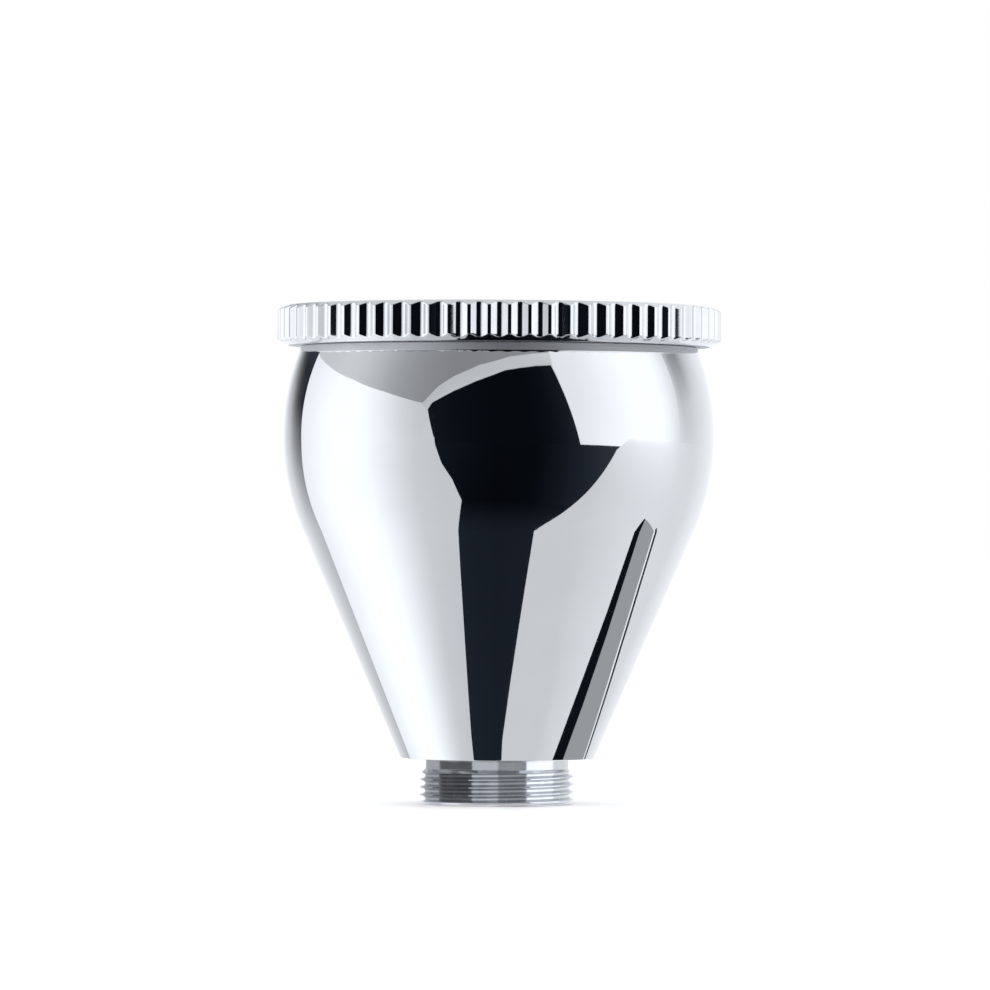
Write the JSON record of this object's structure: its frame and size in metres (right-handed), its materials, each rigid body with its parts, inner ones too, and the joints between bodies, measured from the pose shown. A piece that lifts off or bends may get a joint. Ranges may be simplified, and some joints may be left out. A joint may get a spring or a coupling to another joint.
{
  "type": "airbrush fluid cup",
  "caption": "Detachable gravity-feed fluid cup for an airbrush: bulged mirror-plated bowl, fine-threaded hollow stem and knurled lift-off lid with a vent and seal.",
  "frame": {"origin": "centre of the stem's end face, at the bottom of the part", "axes": "+Z along the cup's axis from the stem to the lid, X and Y across it, with a flute of the lid centred on -Y"},
  "size_m": [0.0288, 0.0288, 0.0323],
  "materials": {
    "plated_bowl": "mirror plated",
    "turned_stem": "plated over turning marks, satin",
    "plated_lid": "plated, knurled rim",
    "seal_rubber": "matt black"
  },
  "bodies": {
    "cup": {"bowl": "plated_bowl", "threaded_stem": "turned_stem"},
    "seal": {"lid_seal": "seal_rubber"},
    "lid": {"lid": "plated_lid"}
  },
  "joints": [
    {"name": "lid_lift", "type": "slide", "parent": "cup", "child": "seal", "axis": [0, 0, 1], "range_m": [0, 0.015]},
    {"name": "lid_turn", "type": "hinge", "parent": "seal", "child": "lid", "pos_m": [0, 0, 0.0285], "axis": [0, 0, 1], "continuous": true}
  ]
}
